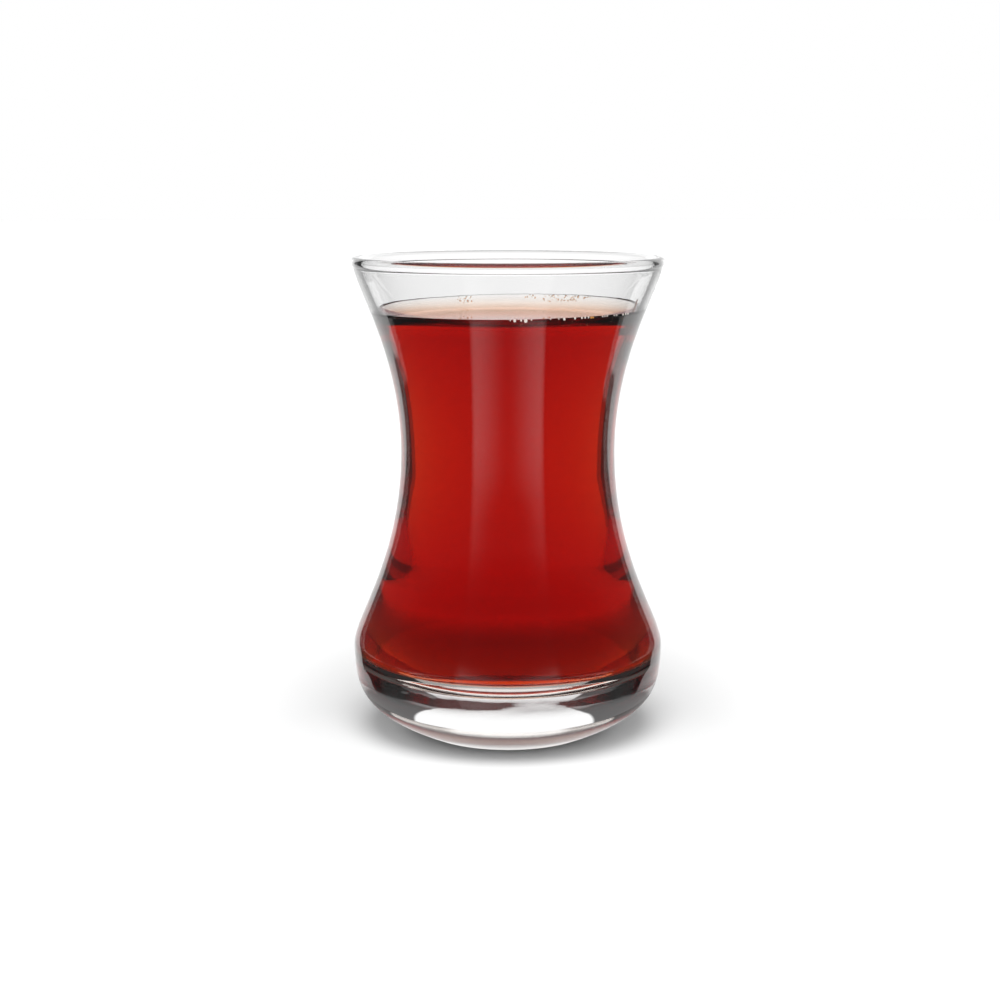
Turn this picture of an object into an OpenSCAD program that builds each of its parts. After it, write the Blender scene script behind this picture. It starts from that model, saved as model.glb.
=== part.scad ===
// Slender-waisted tea glass, filled with red tea.
// Both pieces are turned about the Z axis. The origin is the centre of the
// foot, on the surface that the glass stands on, and +Z is up.

/* [Glass outline] */
// Overall height of the glass, from the foot to the top of the rim
glass_h = 92.5; // [89:0.5:98]
// Diameter across the rim bead
rim_d = 60; // [58:0.5:64]
// Diameter of the glass at its waist
waist_d = 41.4; // [38:0.2:46]
// Height of the waist
waist_z = 55.4; // [51:0.2:59]
// Diameter of the belly where it is widest
belly_d = 60.4; // [57:0.2:64]
// Height of the widest part of the belly
belly_z = 17.2; // [15:0.2:19]
// Outer diameter of the flat ring that the glass stands on
foot_d = 34; // [32:0.5:38]

/* [Curves] */
// Angle at which the heel rises from the foot
heel_angle = 24; // [18:1:30]
// Length over which the heel keeps that angle
heel_pull = 12.3; // [9:0.1:13]
// How long the belly stays upright below its widest part
belly_pull_low = 9; // [6:0.5:10]
// How long the belly stays upright above its widest part
belly_pull_high = 5.1; // [4:0.1:7]
// How long the waist stays upright below its narrowest part
waist_pull_low = 21.3; // [18:0.1:24]
// How long the waist stays upright above its narrowest part
waist_pull_high = 17.2; // [14:0.1:19]
// Steepness of the wall where it meets the rim
lip_angle = 76.8; // [70:0.2:80]
// Length over which the wall keeps that steepness
lip_pull = 5.2; // [4:0.2:8]

/* [Glass thickness] */
// Wall thickness just under the rim
wall_rim = 1.3; // [1.1:0.1:1.6]
// Wall thickness at the waist
wall_waist = 1.9; // [1.5:0.1:2.4]
// Wall thickness at the belly
wall_belly = 2.6; // [2:0.1:3]
// Thickness of the solid base under the middle of the drink
base_t = 10.5; // [8:0.5:12]
// How flat the floor of the bowl is in the middle, as a share of its radius
bowl_flat = 0.55; // [0.4:0.05:0.7]
// How upright the bowl stays where it meets the wall, as a share of its depth
bowl_upright = 0.55; // [0.4:0.05:0.7]

/* [Rim and foot] */
// Thickness of the fire-rounded rim bead
rim_bead_d = 2.1; // [1.9:0.05:2.3]
// Diameter of the hollow under the foot
hollow_d = 30; // [26:0.5:31]
// Depth of the hollow under the foot
hollow_h = 0.8; // [0.5:0.1:1.5]

/* [Drink] */
// Distance from the rim down to the level of the tea
headspace = 12; // [10:0.5:30]
// How far the tea climbs the wall around its edge
climb_h = 2.2; // [1:0.1:2.6]
// Width of the curved edge of the tea
climb_w = 6; // [4:0.5:8]

/* [Hidden] */
$fn = 128;
steps = 14;          // straight pieces in each curve of the outline

bead_r = rim_bead_d / 2;
lip_z = glass_h - 1.9 * bead_r;
lip_r = rim_d / 2 - 0.53;
tea_z = glass_h - headspace;

// Point and direction on a smooth curve from a to d, pulled towards b and c
function curve(k, t) = pow(1 - t, 3) * k[0] + 3 * t * pow(1 - t, 2) * k[1]
    + 3 * t * t * (1 - t) * k[2] + pow(t, 3) * k[3];
function heading(k, t) = 3 * pow(1 - t, 2) * (k[1] - k[0])
    + 6 * t * (1 - t) * (k[2] - k[1]) + 3 * t * t * (k[3] - k[2]);
function inward(k, t) = let (h = heading(k, t)) [-h[1], h[0]] / norm(h);

foot_p = [foot_d / 2, 0];
belly_p = [belly_d / 2, belly_z];
waist_p = [waist_d / 2, waist_z];
lip_p = [lip_r, lip_z];

heel = [foot_p, foot_p + heel_pull * [cos(heel_angle), sin(heel_angle)],
    belly_p - [0, belly_pull_low], belly_p];
flank = [belly_p, belly_p + [0, belly_pull_high],
    waist_p - [0, waist_pull_low], waist_p];
flare = [waist_p, waist_p + [0, waist_pull_high],
    lip_p - lip_pull * [cos(lip_angle), sin(lip_angle)], lip_p];

// The outer line of the glass, upwards from the foot
outer_line = concat(
    [for (i = [0 : steps]) curve(heel, i / steps)],
    [for (i = [1 : steps]) curve(flank, i / steps)],
    [for (i = [1 : steps]) curve(flare, i / steps)]);

// Half-round bead on the rim, from the outer wall over the top to the inside
bead_c = [rim_d / 2 - bead_r, glass_h - bead_r];
bead_line = [for (i = [0 : 12]) let (a = -45 + i * 22.5)
    bead_c + bead_r * [cos(a), sin(a)]];

// The inner line follows the outer one, one wall thickness in
function wall_at(z) = z < waist_z
    ? wall_belly + (wall_waist - wall_belly) * (z - belly_z) / (waist_z - belly_z)
    : wall_waist + (wall_rim - wall_waist) * (z - waist_z) / (lip_z - waist_z);
function inset(k, t) = let (p = curve(k, t)) p + wall_at(p[1]) * inward(k, t);
bowl_top = inset(flank, 0);
bowl = [[0, base_t], [bowl_flat * bowl_top[0], base_t],
    bowl_top - [0, bowl_upright * (bowl_top[1] - base_t)], bowl_top];
inner_line = concat(
    [for (i = [0 : steps]) curve(bowl, i / steps)],
    [for (i = [1 : steps]) inset(flank, i / steps)],
    [for (i = [1 : steps]) inset(flare, i / steps)]);
inner_wall = [for (p = inner_line) if (p[1] < bead_line[12][1] - 0.2) p];

// Radius of the inside at a height above the bowl
inner_table = [for (p = inner_line) if (p[1] >= bowl_top[1]) [p[1], p[0]]];
function inner_r(z) = lookup(z, inner_table);

// Shallow dished hollow under the foot
hollow_line = [for (i = [0 : 8]) let (u = i / 8)
    [hollow_d / 2 * u, hollow_h * (1 - u * u)]];

// The glass: solid base, waisted wall and rounded rim, in one piece
module glass() {
    color([0.93, 0.96, 0.96, 0.35])
        rotate_extrude()
            polygon(concat(hollow_line, outer_line, bead_line,
                [for (i = [len(inner_wall) - 1 : -1 : 0]) inner_wall[i]]));
}

// The tea: fills the bowl and climbs the wall a little round its edge
edge_z = tea_z + climb_h;
edge_line = [for (i = [0 : 9]) let (u = i / 9)
    [inner_r(edge_z) - climb_w * u, tea_z + climb_h * pow(1 - u, 3)]];
module tea() {
    color([0.6, 0.07, 0.04])
        rotate_extrude()
            polygon(concat(
                [for (p = inner_line) if (p[1] < edge_z - 0.05) p],
                edge_line, [[0, tea_z]]));
}

glass();
tea();
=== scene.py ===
# Looks of a tulip tea glass filled with clear red tea.
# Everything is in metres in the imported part's frame: the origin is the centre
# of the foot and +Z is up. Sizes below are in millimetres, as in the part.
import math
import random

import bpy
import bmesh
from mathutils import Matrix, Vector, noise


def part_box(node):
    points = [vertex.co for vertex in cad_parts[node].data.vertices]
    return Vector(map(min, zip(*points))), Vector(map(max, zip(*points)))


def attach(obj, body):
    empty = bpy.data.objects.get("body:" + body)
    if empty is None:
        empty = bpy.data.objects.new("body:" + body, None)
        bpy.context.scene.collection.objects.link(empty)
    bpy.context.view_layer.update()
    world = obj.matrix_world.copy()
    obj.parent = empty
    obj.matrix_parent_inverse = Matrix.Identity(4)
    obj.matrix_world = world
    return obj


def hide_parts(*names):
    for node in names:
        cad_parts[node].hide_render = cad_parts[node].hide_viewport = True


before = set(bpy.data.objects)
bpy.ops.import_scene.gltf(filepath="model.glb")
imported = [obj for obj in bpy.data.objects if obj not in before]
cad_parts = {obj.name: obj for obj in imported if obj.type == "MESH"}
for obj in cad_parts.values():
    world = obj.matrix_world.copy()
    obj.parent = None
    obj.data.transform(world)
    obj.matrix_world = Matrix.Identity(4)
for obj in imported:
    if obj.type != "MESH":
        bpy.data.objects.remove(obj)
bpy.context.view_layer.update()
MM = 0.001

# ------------------------------------------------------------------ sizes
g_lo, g_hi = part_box("glass")
t_lo, t_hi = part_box("tea")
GLASS_H = g_hi.z / MM                  # height of the glass
BELLY_R = g_hi.x / MM                  # widest part of the belly
BASE_T = t_lo.z / MM                   # solid glass under the middle of the tea
EDGE_Z = t_hi.z / MM                   # where the tea ends on the wall
CLIMB_H = 2.2                          # how far the tea climbs the wall
TEA_Z = EDGE_Z - CLIMB_H               # level of the tea
RIM_R = 30.0
BEAD_R = 1.05
LIP = (RIM_R - 0.53, GLASS_H - 1.9 * BEAD_R)
WAIST = (20.7, 55.4)
BELLY = (BELLY_R, 17.2)
FOOT_R = 17.0
HOLLOW_R, HOLLOW_H = 15.0, 0.8
WALL_RIM, WALL_WAIST, WALL_BELLY = 1.3, 1.9, 2.6
AROUND = 288                           # steps round the glass
STEPS = 34                             # steps along each curve


# ------------------------------------------------------------------ outline
def bez(k, t):
    a, b, c, d = k
    s = 1 - t
    return tuple(s ** 3 * a[i] + 3 * t * s * s * b[i] + 3 * t * t * s * c[i] + t ** 3 * d[i]
                 for i in range(2))


def heading(k, t):
    a, b, c, d = k
    s = 1 - t
    return tuple(3 * s * s * (b[i] - a[i]) + 6 * t * s * (c[i] - b[i]) + 3 * t * t * (d[i] - c[i])
                 for i in range(2))


def polar(p, length, deg):
    a = math.radians(deg)
    return (p[0] + length * math.cos(a), p[1] + length * math.sin(a))


def add(p, x, z):
    return (p[0] + x, p[1] + z)


FOOT = (FOOT_R, 0.0)
heel = (FOOT, polar(FOOT, 12.3, 24), add(BELLY, 0, -9.0), BELLY)
flank = (BELLY, add(BELLY, 0, 5.1), add(WAIST, 0, -21.3), WAIST)
flare = (WAIST, add(WAIST, 0, 17.2), polar(LIP, -5.2, 76.8), LIP)


def wall_at(z):
    if z < WAIST[1]:
        return WALL_BELLY + (WALL_WAIST - WALL_BELLY) * (z - BELLY[1]) / (WAIST[1] - BELLY[1])
    return WALL_WAIST + (WALL_RIM - WALL_WAIST) * (z - WAIST[1]) / (LIP[1] - WAIST[1])


def inset(k, t, extra=0.0):
    p, h = bez(k, t), heading(k, t)
    n = math.hypot(*h)
    w = wall_at(p[1]) + extra
    return (p[0] - w * h[1] / n, p[1] + w * h[0] / n)


def curve_points(f, k, first=0):
    return [f(k, i / STEPS) for i in range(first, STEPS + 1)]


bowl_top = inset(flank, 0)
bowl = ((0.0, BASE_T), (0.55 * bowl_top[0], BASE_T),
        add(bowl_top, 0, -0.55 * (bowl_top[1] - BASE_T)), bowl_top)
outer_line = (curve_points(bez, heel, 2) + curve_points(bez, flank, 1)
              + curve_points(bez, flare, 1))
inner_line = (curve_points(bez, bowl, 0) + curve_points(inset, flank, 1)
              + curve_points(inset, flare, 1))
# the bead on the rim, from the outer wall over the top to the inner wall
bead_c = (RIM_R - BEAD_R, GLASS_H - BEAD_R)
bead_line = [(bead_c[0] + BEAD_R * math.cos(math.radians(a)),
              bead_c[1] + BEAD_R * math.sin(math.radians(a)))
             for a in range(-45, 226, 9)]
inner_wall = [p for p in inner_line if p[1] < bead_line[-1][1] - 0.25]
# foot: dished hollow, narrow flat ring with softened edges
hollow_line = [(HOLLOW_R * i / 12, HOLLOW_H * (1 - (i / 12) ** 2)) for i in range(12)]
ring_line = [(HOLLOW_R - 0.25, 0.03), (HOLLOW_R + 0.1, 0.0), (HOLLOW_R + 0.7, 0.0),
             (FOOT_R - 0.55, 0.0), (FOOT_R - 0.15, 0.012), (FOOT_R + 0.2, 0.1)]


def inner_r(z):
    """Radius of the inside above the bowl, at a height."""
    line = [p for p in inner_line if p[1] >= bowl_top[1] - 1e-6]
    for a, b in zip(line, line[1:]):
        if a[1] <= z <= b[1]:
            return a[0] + (b[0] - a[0]) * (z - a[1]) / (b[1] - a[1])
    return line[-1][0]


# ------------------------------------------------------------------ unevenness
def streak(z, a, seed):
    """Long shallow ridges round the belly, as a pressed glass base has."""
    fade = min(1.0, max(0.0, z - 7.0) / 7.0) * min(1.0, max(0.0, 28.0 - z) / 8.0)
    v = Vector((math.cos(a) * 2.6, math.sin(a) * 2.6, z * 0.7 + seed))
    return fade * (noise.noise(v) + 0.5 * noise.noise(v * 2.1))


def wobble_in(r, z, a):
    """Slow unevenness of the inside of the glass, in mm."""
    if r < 0.5:
        return 0.0
    v = Vector((math.cos(a) * 1.3, math.sin(a) * 1.3, z * 0.035 + 11.0))
    return 0.03 * noise.noise(v) * min(1.0, r / 6.0) + 0.006 * streak(z, a, 5.0) * min(1.0, r / 12.0)


def wobble_out(r, z, a):
    """Slow unevenness of the outside, none at the foot and the rim, in mm."""
    v = Vector((math.cos(a) * 1.1, math.sin(a) * 1.1, z * 0.03 + 31.0))
    fade = min(1.0, z / 18.0) * min(1.0, max(0.0, (GLASS_H - 3 - z) / 12.0))
    return 0.03 * noise.noise(v) * fade + 0.012 * streak(z, a, 57.0)


# ------------------------------------------------------------------ meshes
def new_object(name, verts, faces, smooth=True):
    me = bpy.data.meshes.new(name)
    me.from_pydata([(x * MM, y * MM, z * MM) for x, y, z in verts], [], faces)
    bm = bmesh.new()
    bm.from_mesh(me)
    bmesh.ops.recalc_face_normals(bm, faces=bm.faces)
    bm.to_mesh(me)
    bm.free()
    me.polygons.foreach_set("use_smooth", [smooth] * len(me.polygons))
    me.update()
    ob = bpy.data.objects.new(name, me)
    bpy.context.scene.collection.objects.link(ob)
    return ob


def turned(name, rows):
    """A closed body from rows of (x, y, z) rings; a row of one point is a pole."""
    verts, faces, ids = [], [], []
    for row in rows:
        ids.append(list(range(len(verts), len(verts) + len(row))))
        verts.extend(row)
    for a, b in zip(ids, ids[1:]):
        n = max(len(a), len(b))
        for k in range(n):
            k2 = (k + 1) % n
            if len(a) == 1 and len(b) == 1:
                continue
            if len(a) == 1:
                faces.append((a[0], b[k], b[k2]))
            elif len(b) == 1:
                faces.append((a[k2], a[k], b[0]))
            else:
                faces.append((a[k], b[k], b[k2], a[k2]))
    return new_object(name, verts, faces)


def ring(r, z, uneven=None, extra=0.0):
    if r < 1e-6:
        return [(0.0, 0.0, z)]
    row = []
    for k in range(AROUND):
        a = 2 * math.pi * k / AROUND
        q = r + extra + (uneven(r, z, a) if uneven else 0.0)
        row.append((q * math.cos(a), q * math.sin(a), z))
    return row


def make_glass():
    rows = [ring(*p) for p in hollow_line + ring_line]
    rows += [ring(*p, uneven=wobble_out) for p in outer_line]
    rows += [ring(*p) for p in bead_line]
    rows += [ring(*p, uneven=wobble_in) for p in reversed(inner_wall)]
    return turned("glass-body", rows)


OVERLAP = 0.12                         # how far the tea reaches into the wall


def climb_at(a):
    """How far the tea climbs the wall, which is a little uneven round the glass."""
    v = Vector((math.cos(a) * 1.6, math.sin(a) * 1.6, 3.7))
    return CLIMB_H + 0.25 + 0.45 * math.cos(a - math.radians(50)) + 0.12 * noise.noise(v)


def make_tea():
    cut = TEA_Z - 3.0
    low = [p for p in inner_line if p[1] < cut]
    rows = []
    for i, p in enumerate(low):
        q = low[min(i + 1, len(low) - 1)]
        if p[0] < 1e-6:
            rows.append([(0.0, 0.0, p[1] - OVERLAP)])
            continue
        # outwards along the normal of the inner line
        o = low[i - 1]
        hx, hz = q[0] - o[0], q[1] - o[1]
        n = math.hypot(hx, hz)
        nx, nz = hz / n, -hx / n
        row = []
        for k in range(AROUND):
            a = 2 * math.pi * k / AROUND
            r = p[0] + OVERLAP * nx + wobble_in(p[0], p[1], a)
            row.append((r * math.cos(a), r * math.sin(a), p[1] + OVERLAP * nz))
        rows.append(row)
    steps = 10
    tops = [TEA_Z + climb_at(2 * math.pi * k / AROUND) for k in range(AROUND)]
    for i in range(1, steps + 1):
        row = []
        for k in range(AROUND):
            a = 2 * math.pi * k / AROUND
            z = cut + (tops[k] - cut) * i / steps
            base = inner_r(z)
            r = base + OVERLAP + wobble_in(base, z, a)
            row.append((r * math.cos(a), r * math.sin(a), z))
        rows.append(row)
    # the surface, from the edge on the wall to the middle
    for u in [0.0, 0.06, 0.14, 0.24, 0.36, 0.5, 0.68, 0.9, 1.15, 1.45, 1.8, 2.2, 2.7, 3.3, 4.0,
              4.9, 6.0, 7.5, 9.5, 12.0, 15.0, 18.5, 22.0]:
        row = []
        for k in range(AROUND):
            a = 2 * math.pi * k / AROUND
            c = tops[k] - TEA_Z
            edge = inner_r(tops[k]) + wobble_in(0, 0, a)
            r = edge - u
            row.append((r * math.cos(a), r * math.sin(a), TEA_Z + c * math.exp(-u / 2.1)))
        rows.append(row)
    rows.append([(0.0, 0.0, TEA_Z)])
    return turned("tea-fill", rows)


def edge_point(turn, off, lift=0.0):
    """A point of the tea's surface near the wall: turn in degrees from the
    front towards +X, off and lift in mm from the edge of the tea."""
    a = math.radians(turn - 90)
    c = climb_at(a)
    r = inner_r(TEA_Z + c) - off
    return Vector((r * math.cos(a), r * math.sin(a), TEA_Z + c * math.exp(-off / 2.1) + lift))


def balls(name, spots, detail=2):
    """One mesh of small balls from (centre, radius, stretch up) in mm."""
    bm = bmesh.new()
    for c, r, tall in spots:
        at = Matrix.Translation(c * MM) @ Matrix.Diagonal((r * MM, r * MM, r * tall * MM, 1.0))
        bmesh.ops.create_icosphere(bm, subdivisions=detail, radius=1.0, matrix=at)
    me = bpy.data.meshes.new(name)
    bm.to_mesh(me)
    bm.free()
    me.polygons.foreach_set("use_smooth", [True] * len(me.polygons))
    ob = bpy.data.objects.new(name, me)
    bpy.context.scene.collection.objects.link(ob)
    return ob


def make_bubbles():
    """Loose bubbles caught at the front edge of the tea."""
    rows = [(2.8, .23), (5.4, .15), (7.3, .30), (23.5, .21), (28.3, .17), (31.5, .15),
            (33.1, .15), (34.7, .14), (42.1, .12), (43.4, .11), (44.8, .12), (49.0, .11),
            (50.6, .12), (55.0, .15), (57.0, .12), (58.8, .14), (1.0, .09), (9.6, .10),
            (17.5, .08), (21.0, .09)]
    return balls("bubbles-edge", [(edge_point(t, 0.7 * r, -0.1), r, 1.0) for t, r in rows])


def make_amber_bubble():
    """One larger flat bubble at the front edge; its amber glow is painted light from its material's
    emission.
    """
    return balls("amber-bubble-painted-glow", [(edge_point(36.2, 0.15, -0.1), 0.2, 0.8),
                                  (edge_point(37.2, 0.15, -0.12), 0.17, 0.7)])


def make_froth():
    """Fine froth gathered along the back edge and a few specks off it."""
    rng = random.Random(31)
    spots = []
    for lo, hi, n, far in ((144.3, 162.7, 52, 1.1), (137.4, 141.5, 10, 0.8),
                           (197.7, 204.9, 20, 1.3), (166.0, 172.0, 8, 0.5)):
        for _ in range(n):
            r = rng.uniform(0.08, 0.22)
            off = 0.1 + far * rng.random() ** 1.5
            spots.append((edge_point(rng.uniform(lo, hi), off, -0.35 * r), r, 1.0))
    for _ in range(22):
        r = rng.uniform(0.06, 0.13)
        spots.append((edge_point(rng.uniform(-8, 66), rng.uniform(0.5, 2.5), -0.3 * r), r, 1.0))
    return balls("froth-fine", spots, 1)


def make_drip():
    """A thin run of tea left standing on the wall above the surface."""
    rows = []
    for i in range(15):
        h = i / 14
        a = math.radians(63.0 - 90 + 0.25 * math.sin(5 * h))
        z = TEA_Z + climb_at(a) - 0.3 + 2.7 * h
        rows.append((Vector((inner_r(z) * math.cos(a), inner_r(z) * math.sin(a), z)),
                     0.24 * (1 - 0.45 * h), 1.0))
    bm = bmesh.new()
    n = 12
    loops = []
    for c, r, _ in rows:
        out = Vector((c.x, c.y, 0)).normalized()
        side = Vector((-out.y, out.x, 0))
        loops.append([bm.verts.new((c + r * (math.cos(2 * math.pi * k / n) * side * 0.8
                                             + math.sin(2 * math.pi * k / n) * out)) * MM)
                      for k in range(n)])
    for a, b in zip(loops, loops[1:]):
        for k in range(n):
            bm.faces.new((a[k], a[(k + 1) % n], b[(k + 1) % n], b[k]))
    bm.faces.new(loops[0])
    bm.faces.new(loops[-1])
    bmesh.ops.recalc_face_normals(bm, faces=bm.faces)
    me = bpy.data.meshes.new("drip-wall")
    bm.to_mesh(me)
    bm.free()
    me.polygons.foreach_set("use_smooth", [True] * len(me.polygons))
    ob = bpy.data.objects.new("drip-wall", me)
    bpy.context.scene.collection.objects.link(ob)
    return ob


# ------------------------------------------------------------------ materials
def clear_material(name, ior, rough=0.0, tint=None, density=0.0, wave=0.0, scale=100.0,
                   color=(1, 1, 1), stretch=(1, 1, 1)):
    """A clear solid: faint waves of its surface, and its own absorption."""
    m = bpy.data.materials.new(name)
    m.use_nodes = True
    nt = m.node_tree
    p = nt.nodes["Principled BSDF"]
    p.inputs["Base Color"].default_value = (*color, 1)
    if wave:
        tc = nt.nodes.new("ShaderNodeTexCoord")
        mp = nt.nodes.new("ShaderNodeMapping")
        mp.inputs["Scale"].default_value = stretch
        no = nt.nodes.new("ShaderNodeTexNoise")
        no.inputs["Scale"].default_value = scale
        no.inputs["Detail"].default_value = 3.0
        no.inputs["Roughness"].default_value = 0.4
        bu = nt.nodes.new("ShaderNodeBump")
        bu.inputs["Strength"].default_value = 1.0
        bu.inputs["Distance"].default_value = wave
        nt.links.new(tc.outputs["Object"], mp.inputs["Vector"])
        nt.links.new(mp.outputs["Vector"], no.inputs["Vector"])
        nt.links.new(no.outputs["Fac"], bu.inputs["Height"])
        nt.links.new(bu.outputs["Normal"], p.inputs["Normal"])
    p.inputs["Transmission Weight"].default_value = 1.0
    p.inputs["IOR"].default_value = ior
    p.inputs["Roughness"].default_value = rough
    if tint:
        v = nt.nodes.new("ShaderNodeVolumeAbsorption")
        v.inputs["Color"].default_value = (*tint, 1)
        v.inputs["Density"].default_value = density
        nt.links.new(v.outputs["Volume"], nt.nodes["Material Output"].inputs["Volume"])
    return m


glass = make_glass()
glass.data.materials.append(clear_material("clear-glass", 1.52, wave=0.000012, scale=150.0,
                                           stretch=(0.7, 0.7, 1.6)))
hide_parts("glass")
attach(glass, "root")

tea = make_tea()
tea.data.materials.append(clear_material("red-tea", 1.333, 0.0, (0.915, 0.423, 0.038), 260.0,
                                         wave=0.000008, scale=110.0))
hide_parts("tea")
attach(tea, "root")


def foam_material(name, color, painted_glow):
    """Thin-walled bubbles: pale skin, a little uneven, with a painted glow (emission) in place of
    the light they would catch.
    """
    m = bpy.data.materials.new(name)
    m.use_nodes = True
    nt = m.node_tree
    p = nt.nodes["Principled BSDF"]
    no = nt.nodes.new("ShaderNodeTexNoise")
    no.inputs["Scale"].default_value = 4000.0
    cr = nt.nodes.new("ShaderNodeValToRGB")
    cr.color_ramp.elements[0].color = (*[0.8 * c for c in color], 1)
    cr.color_ramp.elements[1].color = (*color, 1)
    tc = nt.nodes.new("ShaderNodeTexCoord")
    nt.links.new(tc.outputs["Object"], no.inputs["Vector"])
    nt.links.new(no.outputs["Fac"], cr.inputs["Fac"])
    nt.links.new(cr.outputs["Color"], p.inputs["Base Color"])
    p.inputs["Roughness"].default_value = 0.12
    # painted light: the emission makes the bubbles glow though no lamp lights them
    p.inputs["Emission Color"].default_value = (*color, 1)
    p.inputs["Emission Strength"].default_value = painted_glow
    return m


# the glow of each foam material (its last number) is painted light
for ob, mat in ((make_bubbles(), foam_material("bubble-skin-painted-glow", (1.0, 0.93, 0.86), 0.85)),
                (make_amber_bubble(), foam_material("amber-bubble-painted-glow", (0.9, 0.42, 0.12), 0.6)),
                (make_froth(), clear_material("froth-skin", 1.22, 0.0, color=(0.9, 0.70, 0.55),
                                              wave=0.000004, scale=3000.0)),
                (make_drip(), clear_material("drip-tea", 1.333, 0.0, color=(0.55, 0.33, 0.27),
                                             wave=0.00001, scale=900.0))):
    ob.data.materials.append(mat)
    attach(ob, "root")


# ------------------------------------------------------------------ stage
def plane_ring(name, r0, r1, n=96):
    """A flat ring on the floor, or a disc when r0 is 0."""
    verts, faces = [], []
    for r in (r0, r1):
        verts += [(r * math.cos(2 * math.pi * k / n), r * math.sin(2 * math.pi * k / n), 0.0)
                  for k in range(n)]
    for k in range(n):
        k2 = (k + 1) % n
        faces.append((k, n + k, n + k2, k2))
    if r0 == 0:
        verts = verts[n:]
        faces = [tuple(range(n))]
    me = bpy.data.meshes.new(name)
    me.from_pydata(verts, [], faces)
    ob = bpy.data.objects.new(name, me)
    bpy.context.scene.collection.objects.link(ob)
    return ob


floor_mat = bpy.data.materials.new("pale-floor")
floor_mat.use_nodes = True
fp = floor_mat.node_tree.nodes["Principled BSDF"]
fp.inputs["Base Color"].default_value = (0.9, 0.9, 0.9, 1)
fp.inputs["Roughness"].default_value = 1.0
fp.inputs["Specular IOR Level"].default_value = 0.0
floor = plane_ring("floor", 0.0, 4.0)
floor.data.materials.append(floor_mat)
PAINTED_SHADE = 0.37                           # how light the painted floor shadow is
# to the glass, the pale surroundings in the world stand for the floor, apart from the painted shadow
# on the tray close round the foot
floor.visible_glossy = False
floor.visible_transmission = False
# painted shadow: a glowing tray round the foot, seen only through and in the glass, stands in for
# the floor's shadow; its dark ring and low wall are painted shadow
shade_mat = bpy.data.materials.new("painted-floor-shadow")
shade_mat.use_nodes = True
sn = shade_mat.node_tree
sn.nodes.clear()
so = sn.nodes.new("ShaderNodeOutputMaterial")
sm = sn.nodes.new("ShaderNodeMixShader")
se = sn.nodes.new("ShaderNodeEmission")
sb = sn.nodes.new("ShaderNodeBsdfTransparent")
sc = sn.nodes.new("ShaderNodeTexCoord")
sx = sn.nodes.new("ShaderNodeSeparateXYZ")
sl = sn.nodes.new("ShaderNodeVectorMath")
sl.operation = "LENGTH"
sp = sn.nodes.new("ShaderNodeLightPath")


def soft(src, lo, hi, a, b):
    n = sn.nodes.new("ShaderNodeMapRange")
    n.interpolation_type = "SMOOTHSTEP"
    for k, v in (("From Min", lo), ("From Max", hi), ("To Min", a), ("To Max", b)):
        n.inputs[k].default_value = v
    sn.links.new(src, n.inputs["Value"])
    return n.outputs[0]


sn.links.new(sc.outputs["Object"], sl.inputs[0])
sn.links.new(sc.outputs["Object"], sx.inputs[0])
# painted light within 20 mm of the middle, where the base would focus light; painted shadow beyond
# 27 mm
tray_painted_light_and_shade = soft(sl.outputs["Value"], 0.020, 0.027, 0.9, PAINTED_SHADE)
# painted light: rays that went through the glass and tea many times see the tray bright
tray_painted_deep_light = soft(sp.outputs["Transmission Depth"], 6.4, 6.6, 0.0, 1.4)
ad = sn.nodes.new("ShaderNodeMath")
ad.operation = "MAXIMUM"
sn.links.new(tray_painted_light_and_shade, ad.inputs[0])
sn.links.new(tray_painted_deep_light, ad.inputs[1])
sn.links.new(ad.outputs[0], se.inputs["Strength"])
sn.links.new(soft(sx.outputs["Z"], 0.0006, 0.0068, 0.0, 1.0), sm.inputs[0])
sn.links.new(se.outputs[0], sm.inputs[1])
sn.links.new(sb.outputs[0], sm.inputs[2])
sn.links.new(sm.outputs[0], so.inputs[0])
TRAY = 0.038
tray_me = bpy.data.meshes.new("painted-shadow-tray")
tv, tf = [], []
for r, z in ((TRAY, -0.0002), (TRAY, 0.008)):
    tv += [(r * math.cos(2 * math.pi * k / 96), r * math.sin(2 * math.pi * k / 96), z)
           for k in range(96)]
tf = [(k, (k + 1) % 96, 96 + (k + 1) % 96, 96 + k) for k in range(96)] + [tuple(range(96))]
tray_me.from_pydata(tv, [], tf)
shade = bpy.data.objects.new("painted-shadow-tray", tray_me)
bpy.context.scene.collection.objects.link(shade)
shade.data.materials.append(shade_mat)
shade.visible_camera = False
shade.visible_diffuse = False
shade.visible_shadow = False

w = bpy.data.worlds.new("studio")
bpy.context.scene.world = w
w.cycles.sampling_method = "NONE"      # keeps the ray tests below exact
w.use_nodes = True
nt = w.node_tree
nt.nodes.clear()


def m(op, a, b=None):
    n = nt.nodes.new("ShaderNodeMath")
    n.operation = op
    for s, v in ((0, a), (1, b)):
        if v is None:
            continue
        if isinstance(v, (int, float)):
            n.inputs[s].default_value = v
        else:
            nt.links.new(v, n.inputs[s])
    return n.outputs[0]


def step(src, edge, width, out_lo=0.0, out_hi=1.0):
    """A soft step of src at an edge, from out_lo below to out_hi above."""
    n = nt.nodes.new("ShaderNodeMapRange")
    n.interpolation_type = "SMOOTHSTEP"
    n.inputs["From Min"].default_value = edge - width / 2
    n.inputs["From Max"].default_value = edge + width / 2
    n.inputs["To Min"].default_value = out_lo
    n.inputs["To Max"].default_value = out_hi
    nt.links.new(src, n.inputs["Value"])
    return n.outputs[0]


def total(*terms):
    out = terms[0]
    for t in terms[1:]:
        out = m("ADD", out, t)
    return out


def mix(t, a, b):
    """a where t is 0 and b where t is 1."""
    return m("ADD", m("MULTIPLY", m("SUBTRACT", 1.0, t), a), m("MULTIPLY", t, b))


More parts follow.
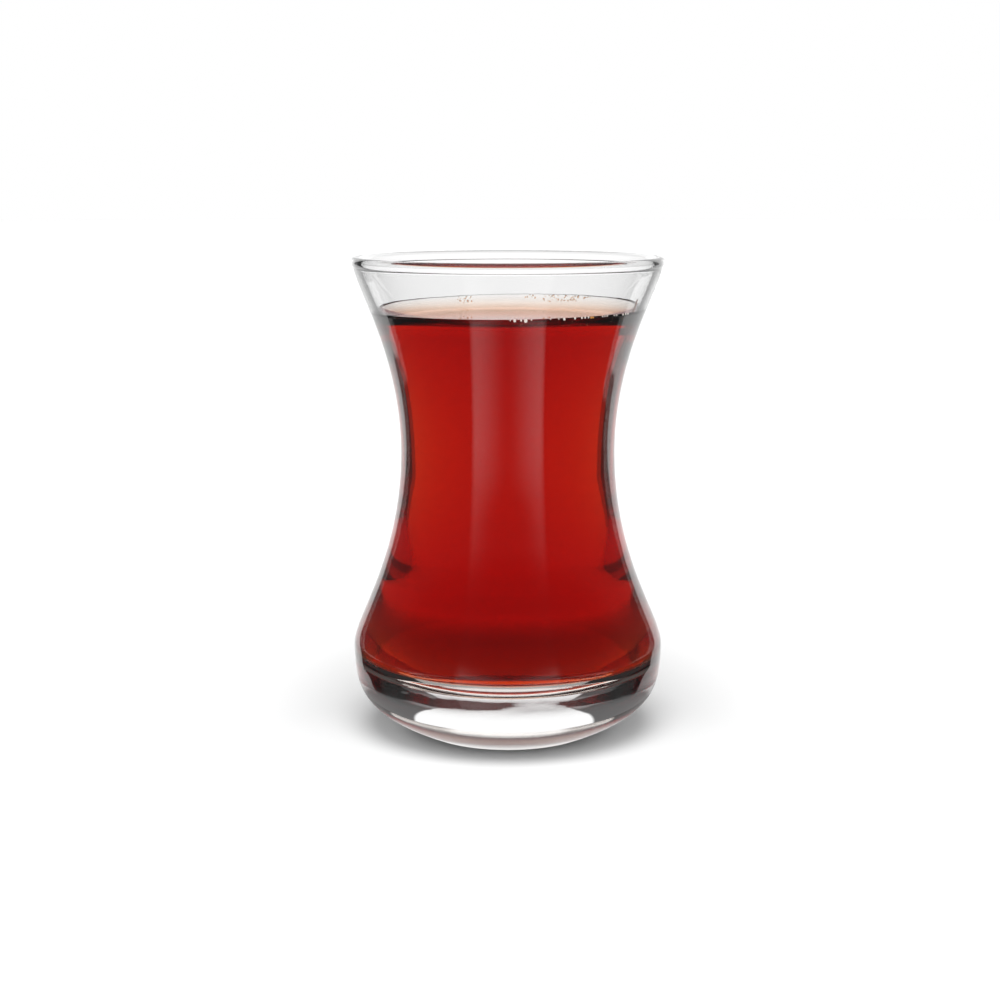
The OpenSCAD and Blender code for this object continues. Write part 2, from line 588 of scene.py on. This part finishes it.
tc = nt.nodes.new("ShaderNodeTexCoord")
sep = nt.nodes.new("ShaderNodeSeparateXYZ")
nt.links.new(tc.outputs["Generated"], sep.inputs[0])
el = m("MULTIPLY", m("ARCSINE", sep.outputs["Z"]), 57.2958)


def side_angle(offset):
    """Degrees to either side of the backdrop's middle, which sits a little off +Y."""
    turn = m("MULTIPLY", m("ARCTAN2", sep.outputs["X"], sep.outputs["Y"]), 57.2958)
    return m("ABSOLUTE", m("SUBTRACT", turn, offset))


high = step(el, 55, 10)

# what shows through the tea: the pale backdrop, its grey edge, then the dark room
a = side_angle(1.5)
spread = total(m("MULTIPLY", m("MAXIMUM", m("SUBTRACT", -15.0, el), 0.0), 0.75),
               m("MULTIPLY", m("MAXIMUM", m("SUBTRACT", el, 8.0), 0.0), 0.6))
a2 = m("SUBTRACT", a, spread)
through_tea = total(step(a2, 33.2, 1.2, 1.06, 0.50), step(a2, 37, 1.2, 0.0, -0.40),
                    step(a2, 44, 3, 0.0, -0.09), step(a2, 53, 8, 0.0, 0.8))

# what shows through the solid base: a narrower window of light
ab = m("ADD", a, m("MULTIPLY", m("MAXIMUM", m("SUBTRACT", el, 14.0), 0.0), 0.12))
through_tea = m("MULTIPLY", through_tea, step(el, -43, 8, 0.6, 1.0))
through_base = total(step(ab, 26.5, 1.6, 1.12, 0.12),
                     m("MULTIPLY", step(ab, 27.5, 2.0), step(el, 31, 6, 0.0, 0.4)),
                     step(a, 64, 10, 0.0, 0.6))
through_base = mix(step(el, -16, 8), step(el, -38, 16, 0.62, 1.0), through_base)

# what the surfaces mirror: tall panels either side of the camera, dark sides
f = m("SUBTRACT", 180.0, side_angle(0.0))
edge_f = step(f, 38.5, 2.2, 1.0, 0.0)
fall = step(f, 19, 38, 0.06, 0.95)
strength = total(step(el, -6, 26, 1.0, 0.42), step(el, 14, 26, 0.0, -0.40))
narrow = m("POWER", fall, total(1.0, step(el, 0, 16, 0.0, 2.2)))
front = m("MULTIPLY", m("MULTIPLY", edge_f, narrow), m("MULTIPLY", strength, 0.6))
g = side_angle(3.0)
g2 = m("SUBTRACT", g, total(step(el, -6, 6, 8.0, 0.0), step(el, -18, 5, 12.0, 0.0)))
behind = step(g2, 35, 3, 1.15, 0.0)
mirrored = m("MAXIMUM", m("MAXIMUM", m("ADD", front, 0.075), behind), m("MULTIPLY", high, 0.3))

lp = nt.nodes.new("ShaderNodeLightPath")
depth = lp.outputs["Transmission Depth"]
through = mix(step(depth, 3, 1), through_base, mix(step(depth, 5, 1), 1.04, through_tea))
through = m("MAXIMUM", through, high)
# light led once round inside the wall comes from further to the side
led = m("MULTIPLY", m("LESS_THAN", depth, 2.5), m("GREATER_THAN", depth, 1.5))
mirrored = m("MULTIPLY", mirrored, mix(led, 1.0, step(side_angle(0.0), 15, 6, 1.0, 0.12)))
# light led up off the foot and the bowl is weaker
off_foot = m("MULTIPLY", m("LESS_THAN", depth, 5.5), m("GREATER_THAN", depth, 2.5))
mirrored = m("MULTIPLY", mirrored, mix(m("MULTIPLY", off_foot, step(el, 14, 8)), 1.0, 0.35))
bounced = m("GREATER_THAN", depth, 6.5)
mirrored = mix(m("MULTIPLY", bounced, step(el, 30, 10)), mirrored, 0.2)
# light turned inside the flank crosses the tea again and leaves low down
flank = m("MULTIPLY", m("GREATER_THAN", depth, 9.5), step(el, 26, 8, 1.0, 0.0))
mirrored = m("MAXIMUM", mirrored, m("MULTIPLY", flank, 0.6))
direct = m("MULTIPLY", lp.outputs["Is Transmission Ray"],
           m("LESS_THAN", lp.outputs["Glossy Depth"], 0.5))
env = mix(direct, mirrored, through)
# what lights the floor comes from overhead, from both sides and from the front
off_side = m("ABSOLUTE", m("SUBTRACT", side_angle(0.0), 90.0))
panels = m("MULTIPLY", m("ADD", step(f, 52, 20, 1.8, 0.0), step(off_side, 35, 20, 1.7, 0.0)),
           step(el, 50, 12, 1.0, 0.0))
env = mix(lp.outputs["Is Diffuse Ray"], env, m("ADD", panels, 0.06))
env = mix(lp.outputs["Is Camera Ray"], env, 1.0)
bg = nt.nodes.new("ShaderNodeBackground")
bg.inputs["Color"].default_value = (1, 1, 1, 1)
nt.links.new(env, bg.inputs["Strength"])
wo = nt.nodes.new("ShaderNodeOutputWorld")
nt.links.new(bg.outputs[0], wo.inputs[0])

key = bpy.data.lights.new("overhead", "SUN")
key.energy = 1.95
key.angle = math.radians(36)
ko = bpy.data.objects.new("overhead", key)
bpy.context.scene.collection.objects.link(ko)
ko.location = (0, -0.4, 0.95)
ko.rotation_euler = (Vector((0, 0, 0)) - ko.location).to_track_quat("-Z", "Y").to_euler()
ko.visible_glossy = False
ko.visible_transmission = False
ko.visible_camera = False

# ------------------------------------------------------------------ camera
cam = bpy.data.cameras.new("camera")
co = bpy.data.objects.new("camera", cam)
bpy.context.scene.collection.objects.link(co)
bpy.context.scene.camera = co
co.location = (0, -0.360, 0.1082)
co.rotation_euler = (math.radians(90 - 9.763), 0, 0)
cam.sensor_width = 36
cam.lens = 1874.98 * 36 / 1000
cam.clip_start = 0.001
cam.shift_x = (500 - 507.8) / 1000
cam.shift_y = (495.19 - 500) / 1000

sc = bpy.context.scene
sc.view_settings.view_transform = "Standard"
sc.cycles.max_bounces = 24
sc.cycles.transmission_bounces = 24
sc.cycles.glossy_bounces = 12
sc.cycles.caustics_reflective = False
sc.cycles.caustics_refractive = False
